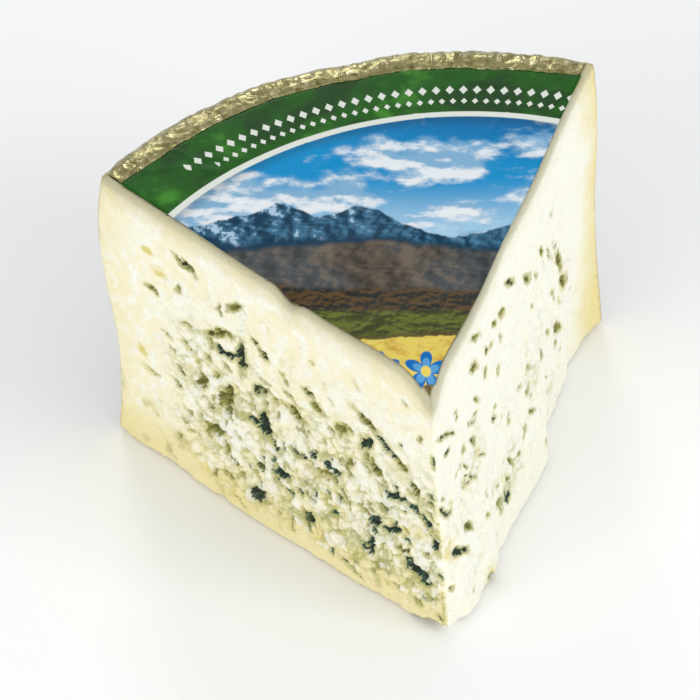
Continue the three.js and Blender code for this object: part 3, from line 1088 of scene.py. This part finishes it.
def mix_cheese():
    """Paste: its ground, dusty mould in the openings, a tan band just under the lip, a grey
    painted shade over the rounded lip itself and brown at the rind's edge. The paste is a
    little moist and lets light in."""
    paste = Finish("cheese_paste")
    right = paste.stored("right")
    slow = paste.noise(17, 2)
    medium = paste.noise(3.2, 4)
    fine = paste.noise(0.9, 4, 0.65)
    speck = paste.noise(0.45, 2)

    ground = paste_ground(paste, right, slow, medium, fine)
    edge = paste.stored("mould") + (fine - 0.5) * 0.6 + (speck - 0.5) * 0.35
    covered = paste.step(edge, 0.3, 0.55)
    colour = paste.blend(covered * 0.95, ground, mould_paint(paste, edge, medium))

    to_top = paste.stored("to_top")
    # A tan band under the lip, fading out about 8.5 mm down and weaker on the right face
    tan = paste.step(to_top + (medium - 0.5) * 3, 1.0, 8.5, 1, 0) * (0.52 - right * 0.3)
    colour = paste.blend(tan, colour, TOP_BAND_TAN)
    # Painted shade: grey over the top 3 mm of the cut faces, where the rounded lip curls over
    lip = paste.step(to_top + (fine - 0.5) * 1.2, 0.1, 3.0, 1, 0)
    colour = paste.blend(lip * 0.75, colour, LIP_SHADE_GREY)
    to_rind = paste.stored("to_back") + (fine - 0.5) * 2.4 + (speck - 0.5)
    colour = paste.blend(paste.step(to_rind, -0.2, 1.3, 1, 0) * 0.75, colour, RIND_BROWN)

    dull = paste.step(covered, 0, 1, 0.5, 0.85) + (fine - 0.5) * 0.2
    skin = paste.bump(medium, 0.8, 0.6)
    skin = paste.bump(fine, 0.4, 0.8, under=skin)
    skin = paste.bump(speck, 0.10, 0.6, under=skin)
    paste.set(
        Base_Color=colour, Roughness=dull, Normal=skin, IOR=1.45,
        Subsurface_Weight=0.2, Subsurface_Scale=0.002, Subsurface_Radius=(1.0, 0.75, 0.42),
        Specular_IOR_Level=0.35,
    )
    return paste


# ---------------------------------------------------------------- the foil's finish

# Deep green, green and olive make a painted reflection: the metal's sweep of light round the rim
FOIL_DEEP = ink(44, 72, 54)
FOIL_GREEN = ink(84, 92, 62)
FOIL_OLIVE = ink(132, 128, 78)
FOIL_GOLD = ink(188, 176, 122)
FOIL_BEIGE = ink(160, 150, 104)
FOIL_PALE = ink(206, 196, 156)
FOIL_BROWN = ink(86, 74, 42)
FOIL_TEAL = ink(16, 50, 42)
FOIL_RUST = ink(184, 132, 92)
RIB_GOLD = ink(204, 164, 92)

# The leaf ribs printed round the side. Each runs from one place to another, given as the way
# round the rim from the wheel's middle line and a height, and starts at a half-width.
LEAF_RIBS = (
    ((16, 46), (8, 70), 1.2),
    ((16, 46), (52, 58), 0.7),
    ((16, 46), (-30, 4), 0.8),
    ((16, 46), (30, 14), 0.7),
    ((-2, 30), (-24, 33), 0.4),
    ((34, 52), (44, 64), 0.3),
    ((-42, 44), (-58, 70), 0.5),
    ((-42, 44), (-22, 38), 0.4),
    ((-42, 44), (-46, 30), 0.3),
    ((-42, 44), (-34, 32), 0.4),
)

# The sharpest creases, given in the same way
CREASES = (
    ((-50, 66), (-24, 61), 0.55),
    ((-28, 60), (-20, 40), 0.45),
    ((-30, 48), (-48, 50), 0.35),
    ((-8, 38), (10, 62), 0.6),
    ((-4, 42), (16, 58), 0.5),
    ((-14, 16), (-2, 34), 0.5),
    ((-2, 34), (22, 38), 0.4),
    ((-18, 30), (-44, 26), 0.4),
    ((-52, 18), (-34, 13), 0.45),
    ((44, 74), (36, 18), 0.5),
    ((50, 56), (55, 40), 0.4),
    ((18, 6), (40, 15), 0.6),
    ((24, 66), (34, 60), 0.35),
)

KINK_MIDDLE = 3.5  # how far the noise that kinks the lines moves them as a whole


class FoilPrint(Finish):
    """The foil's finish, drawn on its side as a plane of the way round the rim and height."""

    def __init__(self, name):
        super().__init__(name)
        self.around = self.stored("around")
        self.side = self.point(self.around, self.part(self.places(), 2) / MM)

    def kinked(self, size, detail, shift):
        """Points of the side, moved by up to a shift by noise of a size."""
        way = self.flat_noise(self.side, size, detail, output="Color")
        return self.vector("MULTIPLY_ADD", {0: way, 1: (shift, shift, 0), 2: self.side})

    def wrinkle(self, size, tall, slant, width, seed):
        """Curving lines where stretched, slanted noise crosses its middle, broken up where
        another noise is low."""
        slanted = self.node("ShaderNodeMapping", None, {
            "Vector": self.side, "Rotation": (0, 0, math.radians(slant)),
            "Scale": (1 / size, 1 / tall, 1), "Location": (seed, seed, 0),
        })
        level = self.flat_noise(slanted, 1.0, 2.0, 0.4)
        patch = self.flat_noise(slanted, 1 / 0.7, 1.0)
        return self.step(abs(level - 0.5), 0, width, 1, 0) * self.step(patch, 0.42, 0.6)

    def line(self, where, start, end, half_width):
        """Distance to a straight line that narrows to its end, less its half-width."""
        run = (end[0] - start[0], end[1] - start[1], 0)
        length_squared = run[0] ** 2 + run[1] ** 2
        moved_start = (start[0] + KINK_MIDDLE, start[1] + KINK_MIDDLE, 0)
        away = self.vector("SUBTRACT", {0: where, 1: moved_start})
        share = self.vector(
            "DOT_PRODUCT", {0: away, 1: tuple(part / length_squared for part in run)}, "Value"
        )
        share = self.node("ShaderNodeClamp", None, {0: share})
        nearest = self.vector("SCALE", {0: run, "Scale": share})
        distance = self.vector("DISTANCE", {0: away, 1: nearest}, "Value")
        return distance + share * (half_width * 0.75) - half_width * 0.5

    def lines(self, where, runs, join):
        """Distance to the nearest of many lines, smoothed over a join where they meet."""
        nearest = self.line(where, *runs[0])
        for run in runs[1:]:
            nearest = self.math("SMOOTH_MIN", nearest, self.line(where, *run), join)
        return nearest


def foil_body(foil, medium, fine, dark_lines, bright_lines, creases, ribs):
    """The side's colour: deep green going over to olive round the rim as a painted reflection,
    lighter on facets that lean up and darker on the rest as painted sheen, with wrinkles and
    creases painted light and dark as highlight and shade, and the printed ribs of leaves. The
    tuck under the roll is painted dark as shade."""
    painted_sheen = foil.stored("painted_sheen")
    # Painted reflection: a slow sweep from deep green to olive round the rim
    reflection_sweep = foil.noise(34, 2) + foil.around * 0.004 + 0.06
    body = foil.blend(foil.step(reflection_sweep, 0.24, 0.56), FOIL_DEEP, FOIL_GREEN)
    body = foil.blend(foil.step(reflection_sweep, 0.48, 0.84), body, FOIL_OLIVE)
    # Painted reflection: gold on facets that lean up, teal on those that lean down
    lean = painted_sheen + (fine - 0.5) * 0.05
    body = foil.blend(foil.step(lean, 0.03, 0.18) * 0.22, body, FOIL_GOLD)
    body = foil.blend(foil.step(lean, -0.2, -0.04, 0.3, 0), body, FOIL_TEAL)
    body = foil.blend(foil.step(fine, 0.35, 0.7) * 0.12, body, FOIL_GOLD)
    # Painted shade in the dark wrinkles and creases, painted highlight on the bright wrinkles
    body = foil.blend(dark_lines * 0.25, body, FOIL_TEAL)
    body = foil.blend(bright_lines * 0.25, body, FOIL_GOLD)
    body = foil.blend(creases * 0.72, body, FOIL_TEAL)
    body = foil.blend(ribs * foil.step(reflection_sweep, 0.3, 0.7, 0.5, 0.85), body, RIB_GOLD)
    # Painted shade: teal in the tuck under the shoulder roll
    return foil.blend(foil.stored("tuck") * (medium * 0.7 + 0.5), body, FOIL_TEAL)


def foil_shoulder(foil, medium, fine, dark_lines):
    """The rolled shoulder's colour: beige and pale on the roll as painted sheen, with dark
    wrinkles painted as shade, and mottled beige, pale, brown and rust where it is pebbled on
    top."""
    blotch = foil.noise(1.9, 4, 0.66, warp=0.6)
    grit = foil.noise(0.8, 3, 0.6)
    rim = foil.blend(foil.step(blotch, 0.4, 0.6), FOIL_OLIVE, FOIL_BEIGE)
    rim = foil.blend(foil.step(blotch + (fine - 0.5) * 0.3, 0.56, 0.68) * 0.8, rim, FOIL_PALE)
    rim = foil.blend(foil.step(blotch + (fine - 0.5) * 0.5, 0.3, 0.42, 0.85, 0), rim, FOIL_BROWN)
    rim = foil.blend(foil.step(grit, 0.58, 0.68) * 0.6, rim, FOIL_PALE)
    rim = foil.blend(foil.step(grit + blotch, 0.72, 0.84, 0.5, 0), rim, FOIL_RUST)
    # Painted sheen on the roll: pale where it leans up, beige where it leans down
    lean = foil.stored("painted_sheen") + (medium - 0.5) * 0.5
    rolled = foil.blend(foil.step(lean, -0.25, 0.15), FOIL_BEIGE, FOIL_PALE)
    # Painted shade in the roll's dark wrinkles
    rolled = foil.blend(dark_lines * 0.45, rolled, FOIL_BROWN)
    return foil.blend(foil.step(foil.stored("crown") + (fine - 0.5) * 0.4, 0.2, 0.8), rolled, rim)


def mix_foil():
    """Foil: a metallic print on its side, its green to olive tones largely a painted reflection,
    and a beige rolled shoulder. Creases and dark wrinkles are pressed in and painted as shade,
    bright wrinkles stand out and are painted as highlights."""
    foil = FoilPrint("wrapping_foil")
    medium = foil.noise(6, 4, 0.6)
    fine = foil.noise(1.4, 4, 0.6)
    dark_lines = foil.most(
        foil.wrinkle(20, 6, slant=32, width=0.05, seed=13.0),
        foil.wrinkle(15, 5, slant=-28, width=0.05, seed=19.0),
    )
    bright_lines = foil.most(
        foil.wrinkle(17, 5, slant=14, width=0.04, seed=29.0),
        foil.wrinkle(9, 3, slant=-50, width=0.04, seed=37.0),
    )
    ribs = foil.lines(foil.kinked(24, 2.0, 7), LEAF_RIBS, join=1.4)
    ribs = foil.step(ribs + (fine - 0.5) * 0.3, -0.1, 0.5, 1, 0)
    creases = foil.lines(foil.kinked(6, 3.0, 5), CREASES, join=0.0)
    creases = foil.step(creases, -0.05, 0.3, 1, 0)

    body = foil_body(foil, medium, fine, dark_lines, bright_lines, creases, ribs)
    colour = foil.blend(foil.stored("roll"), body, foil_shoulder(foil, medium, fine, dark_lines))
    rough = foil.step(medium, 0.3, 0.7, 0.24, 0.4) + (fine - 0.5) * 0.1
    skin = foil.bump(creases, -0.5, 0.8)
    skin = foil.bump(dark_lines, -0.3, 0.8, under=skin)
    skin = foil.bump(bright_lines, 0.3, 0.8, under=skin)
    skin = foil.bump(medium, 0.6, 0.7, under=skin)
    skin = foil.bump(fine, 0.12, 0.6, under=skin)
    metal = foil.step(ribs, 0, 1, 0.7, 0.4)
    foil.set(Base_Color=colour, Roughness=rough, Normal=skin, Metallic=metal)
    return foil


# ---------------------------------------------------------------- the label's print

PICTURE_TURN = math.radians(-16)  # the picture's upright, turned from the wedge's middle line
RING_INNER = 80.4
LINE_WIDTH = 1.7
SKY_LOW = ink(176, 218, 242)
SKY_MID = ink(0, 148, 210)
SKY_DEEP = ink(0, 116, 178)
CLOUD = ink(246, 250, 252)
CLOUD_SHADE = ink(138, 186, 220)
MOUNTAIN_DARK = ink(8, 58, 84)
MOUNTAIN_BLUE = ink(66, 120, 152)
SNOW = ink(196, 224, 244)
HILL_GREY = ink(82, 86, 88)
HILL_BROWN = ink(98, 87, 76)
HILL_DARK = ink(42, 46, 44)
HILL_PALE = ink(140, 124, 106)
SHRUB = ink(96, 74, 44)
MEADOW = ink(108, 116, 44)
MEADOW_DARK = ink(62, 70, 30)
CORN = ink(240, 216, 102)
CORN_DARK = ink(214, 170, 70)
RING_GREEN = ink(34, 94, 22)
RING_DARK = ink(32, 72, 26)
RING_BRIGHT = ink(66, 142, 42)
MARK_WHITE = ink(236, 240, 230)
PAPER_TONE = ink(236, 236, 236)
PETAL_BLUE = ink(20, 112, 190)
PETAL_LIGHT = ink(110, 180, 226)


class LabelPrint(Finish):
    """The label's finish, drawn in millimetres from the wheel's axis along the picture's own
    level and upright."""

    def __init__(self, name):
        super().__init__(name)
        self.centred = self.node("ShaderNodeMapping", {"vector_type": "TEXTURE"}, {
            "Vector": self.places(),
            "Location": (WHEEL_AXIS[0] * MM, WHEEL_AXIS[1] * MM, 0),
            "Rotation": (0, 0, PICTURE_TURN),
            "Scale": (MM, MM, MM),
        })
        self.across = self.part(self.centred, 0)
        self.upright = self.part(self.centred, 1)
        self.outwards = self.vector("LENGTH", {0: self.point(self.across, self.upright)}, "Value")
        self.turn = self.math("ARCTAN2", self.across, self.upright)

    def skyline(self, level, size, seed, rough=0.6):
        """An uneven line: noise along the picture's width, from -level / 2 to level / 2."""
        return (self.flat_noise(self.point(self.across, seed), size, 6.0, rough) - 0.5) * level

    def rise(self, centre, width, top):
        """A slope up to a peak and down again, as high as top and as wide as two widths."""
        return self.most(1 - abs(self.across - centre) / width, 0) * top

    def spread(self, size, stretch, detail=5.0, rough=0.6, seed=0.0, move=(0, 0)):
        """Noise over the picture, stretched along its width and moved in millimetres."""
        spot = self.node("ShaderNodeMapping", None, {
            "Vector": self.centred, "Scale": (1 / stretch, 1, 0),
            "Location": (seed + move[0] / stretch, seed + move[1], 0),
        })
        return self.flat_noise(spot, size, detail, rough)

    def lit(self, size, stretch, move, contrast, detail=5.0, rough=0.6, seed=0.0):
        """Relief shading of a noise: 0.5 plus its fall over a small move, times a contrast."""
        here = self.spread(size, stretch, detail, rough, seed)
        there = self.spread(size, stretch, detail, rough, seed, move)
        return (here - there) * contrast + 0.5

    def below(self, line, low, high):
        """1 under a line of the picture and 0 above it, softly between two depths."""
        return self.step(line - self.upright, low, high)


def print_sky(label):
    """A blue sky, deeper towards the top, with lit clouds in a slanting band."""
    sky = label.blend(label.step(label.upright, 38, 60), SKY_LOW, SKY_MID)
    high = label.step(label.upright + label.across * 0.15, 60, 80)
    sky = label.blend(high, sky, SKY_DEEP)
    puff = label.spread(12, 1.7, 6, 0.53, 40.0)
    band = label.upright - label.across * 0.32
    thick = puff + label.step(abs(band - 69), 3, 15, 0.22, 0) + label.step(band, 46, 62, 0.14, 0)
    billow = label.lit(12, 1.7, (0.3, -1.8), 4.2, 6, 0.53, 40.0)
    cloud = label.blend(label.step(billow + thick * 0.2, 0.4, 0.95), CLOUD_SHADE, CLOUD)
    return label.blend(label.step(thick, 0.57, 0.72) * 0.97, sky, cloud)


def print_mountains(label, picture):
    """Three dark blue mountains with snow on the left two, over a darker foothill."""
    left_peaks = label.most(label.rise(-42, 30, 15), label.rise(-24, 26, 14.5))
    peaks = label.most(left_peaks, label.rise(18, 24, 12))
    crest = peaks + 35.6 + label.skyline(7, 13, 3.0, 0.5)
    rock = label.lit(9, 0.9, (1.2, 0.5), 3.4, 7, 0.6)
    slope = label.blend(label.step(rock, 0.2, 0.75), MOUNTAIN_DARK, MOUNTAIN_BLUE)
    slope = label.blend(label.step(label.across, 2, 14, 0, 0.45), slope, MOUNTAIN_BLUE)
    leftward = label.step(label.across, -62, -20, 0.16, 0)
    snow = label.step(rock + (label.upright - crest) * 0.025 + leftward, 0.62, 0.9)
    snow = snow * label.step(label.across, -30, -8, 0.85, 0.1)
    slope = label.blend(snow, slope, SNOW)
    picture = label.blend(label.below(crest, -0.3, 0.5), picture, slope)
    foothill = label.rise(-24, 44, 4) + 36.5 + label.skyline(5, 9, 11.0)
    return label.blend(label.below(foothill, -0.5, 2.5), picture, MOUNTAIN_DARK)


def print_land(label, picture):
    """Brown hills, a belt of scrub, a meadow and a yellow field, each with its skyline."""
    furrow = label.lit(11, 1.1, (1.5, 0.6), 3.6, 6, 0.6, 5.0)
    patch = label.step(label.spread(14, 2.0, 3, 0.5, 6.0), 0.4, 0.6)
    hills = label.blend(patch, HILL_GREY, HILL_BROWN)
    hills = label.blend(label.step(furrow, 0.1, 0.5, 0.62, 0), hills, HILL_DARK)
    hills = label.blend(label.step(furrow, 0.5, 0.9, 0, 0.45), hills, HILL_PALE)
    hill_line = label.rise(-18, 40, 4.5) + 34 + label.skyline(4, 12, 23.0)
    picture = label.blend(label.below(hill_line, -0.5, 1.5), picture, hills)

    bushes = label.lit(3.2, 1.6, (0.4, -0.8), 2.2, 5, 0.65, 9.0)
    scrub = label.blend(label.step(bushes, 0.3, 0.7), HILL_DARK, SHRUB)
    scrub_line = label.skyline(4, 9, 31.0) + 24
    picture = label.blend(label.below(scrub_line, -0.6, 1.6), picture, scrub)

    meadow = label.spread(5, 3.0, 4, 0.6, 15.0) * 0.6 + bushes * 0.4
    grass = label.blend(label.step(meadow, 0.38, 0.6), MEADOW_DARK, MEADOW)
    grass_line = label.skyline(4.5, 9, 43.0) + 16.8
    picture = label.blend(label.below(grass_line, -0.6, 1.4), picture, grass)

    corn = label.blend(label.step(label.spread(3, 1.2, 5, 0.6, 13.0), 0.42, 0.72), CORN, CORN_DARK)
    field_line = label.across * 0.06 + 8.6 + label.skyline(2.4, 5, 57.0, 0.7)
    picture = label.blend(label.below(field_line + 1.2, -0.4, 0.6) * 0.6, picture, SHRUB)
    return label.blend(label.below(field_line, -0.15, 0.35), picture, corn)


def print_flowers(label, picture):
    """A row of small blue flowers. A petal's edge lies 1.6 mm plus 3.2 mm times the size of
    the cosine of 2.5 turns from the middle."""
    pitch = 10.4
    first_across = -6.2
    level = -1.4
    along = label.across - first_across + pitch / 2
    x = label.math("FLOORED_MODULO", along, pitch) - pitch / 2
    y = label.upright - level
    outwards = label.math("SQRT", x * x + y * y)
    lobes = abs(label.math("COSINE", label.math("ARCTAN2", x, y) * 2.5))
    edge = lobes * 3.2 + 1.6
    picture = label.blend(label.step(outwards - edge, -0.25, 0.25, 1, 0), picture, PETAL_BLUE)
    inner = label.step(outwards - edge * 0.62, -0.4, 0.4, 1, 0)
    picture = label.blend(inner * 0.7, picture, PETAL_LIGHT)
    return label.blend(label.step(outwards, 0.9, 1.3, 1, 0), picture, CORN)


def row_of_marks(label, radius, pitch, half_round, half_out, first, last):
    """Small lozenges along an arc of the border, at a pitch in millimetres, from one turn to
    another in degrees from the picture's upright."""
    pace = label.turn * (radius / pitch)
    from_middle = abs(label.math("FRACT", pace) - 0.5)
    shape = from_middle * (pitch / half_round) + abs(label.outwards - radius) / half_out
    started = label.step(label.turn, math.radians(first), math.radians(first + 0.3))
    ended = label.step(label.turn, math.radians(last), math.radians(last + 0.3), 1, 0)
    return label.step(shape, 0.85, 1.1, 1, 0) * started * ended


def print_border(label):
    """A mottled green border with two rows of small white lozenges."""
    mottle = label.spread(16, 1.0, 4, 0.55, 21.0)
    border = label.blend(label.step(mottle, 0.36, 0.52), RING_DARK, RING_GREEN)
    border = label.blend(label.step(mottle, 0.55, 0.72), border, RING_BRIGHT)
    marks = label.most(
        row_of_marks(label, 87.9, pitch=3.1, half_round=1.0, half_out=1.45, first=-46, last=40),
        row_of_marks(label, 84.1, pitch=2.5, half_round=0.75, half_out=1.0, first=-42, last=40),
    )
    return label.blend(marks, border, MARK_WHITE)


def print_label():
    """The label's print: a landscape that darkens a little towards its white line, and the
    green border outside it."""
    label = LabelPrint("printed_label")
    picture = print_sky(label)
    picture = print_mountains(label, picture)
    picture = print_land(label, picture)
    picture = print_flowers(label, picture)
    border = print_border(label)

    line_start = RING_INNER - LINE_WIDTH
    shade = label.step(label.outwards, line_start - 3.8, line_start) * 0.4
    picture = label.blend(shade, picture, MOUNTAIN_DARK)
    line = label.step(label.outwards, line_start, line_start + 0.3)
    printed = label.blend(line, picture, MARK_WHITE)
    printed = label.blend(label.step(label.outwards, RING_INNER, RING_INNER + 0.3), printed, border)
    printed = label.node(
        "ShaderNodeMix", {"data_type": "RGBA", "blend_type": "MULTIPLY"},
        {0: 1.0, 6: printed, 7: PAPER_TONE}, 2,
    )
    grainy = label.bump(label.noise(1.2, 3), 0.05, 0.4)
    rough = label.step(label.noise(9, 3), 0.3, 0.7, 0.34, 0.44)
    label.set(Base_Color=printed, Roughness=rough, Normal=grainy, Specular_IOR_Level=0.08)
    return label


# ---------------------------------------------------------------- the pieces in place

for build, mix, node, slot in (
    (make_cheese, mix_cheese, "cheese", "cheese_paste"),
    (make_foil, mix_foil, "foil_wrap", "wrapping_foil"),
    (make_label, print_label, "label", "printed_label"),
):
    piece = build()
    mix().cover(piece)
    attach(piece, "root")
    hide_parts(node)


# ---------------------------------------------------------------- floor, light and camera


def make_floor():
    """A flat pale floor, far wider than the view."""
    half = 4000.0
    corners = np.array([[-half, -half, 0], [half, -half, 0], [half, half, 0], [-half, half, 0]])
    floor = put_mesh("studio_floor", corners, np.array([[0, 1, 2, 3]]))
    paint = Finish("studio_floor")
    tone = paint.step(paint.noise(400, 2), 0.3, 0.7)
    paint.set(Base_Color=paint.blend(tone, ink(247, 247, 246), ink(250, 250, 249)), Roughness=0.7)
    paint.cover(floor)
    floor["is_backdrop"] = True


def add_lamp(name, position, aim, size, power, colour):
    """A square soft lamp at a position in metres, facing a point."""
    data = bpy.data.lights.new(name, "AREA")
    data.shape = "SQUARE"
    data.size = size
    data.energy = power
    data.color = colour
    lamp = bpy.data.objects.new(name, data)
    lamp.location = position
    lamp.rotation_euler = (Vector(position) - Vector(aim)).to_track_quat("Z", "Y").to_euler()
    bpy.context.scene.collection.objects.link(lamp)


def light_studio():
    """A cool key lamp on the right, a wider warm one on the left, a small one behind that
    glints on the foil, and pale light all round."""
    aim = (0, 0, 0.04)
    add_lamp("key_lamp", (0.9, -0.8, 0.72), aim, 0.55, 6.35, (0.965, 0.975, 1.0))
    add_lamp("fill_lamp", (-0.95, -0.8, 0.6), aim, 0.8, 5.85, (1.0, 0.99, 0.97))
    add_lamp("back_lamp", (0.1, 1.3, 0.7), aim, 0.4, 3.5, (1.0, 1.0, 1.0))
    world = bpy.data.worlds.new("studio_air")
    world.use_nodes = True
    backdrop = world.node_tree.nodes["Background"]
    backdrop.inputs["Color"].default_value = (0.96, 0.98, 1.0, 1.0)
    backdrop.inputs["Strength"].default_value = 0.70
    bpy.context.scene.world = world
    bpy.context.scene.view_settings.view_transform = "Standard"


def aim_camera():
    """A long lens, turned to the wedge's left and looking down on it, with a slight tilt."""
    azimuth, elevation, tilt = (math.radians(angle) for angle in (-10.45, 42.7, -3.86))
    distance = 2.2
    left_of_middle = Vector((0.009, 0, 0))
    back = Vector((
        math.sin(azimuth) * math.cos(elevation),
        -math.cos(azimuth) * math.cos(elevation),
        math.sin(elevation),
    ))
    low, high = (Vector(corner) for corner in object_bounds())
    aim = (low + high) / 2 - left_of_middle
    data = bpy.data.cameras.new("camera")
    data.lens = 500
    data.clip_end = 20
    camera = bpy.data.objects.new("camera", data)
    camera.location = aim + back * distance
    level = back.to_track_quat("Z", "Y")
    camera.rotation_euler = (level @ Quaternion((0, 0, 1), tilt)).to_euler()
    bpy.context.scene.collection.objects.link(camera)
    bpy.context.scene.camera = camera


make_floor()
light_studio()
aim_camera()
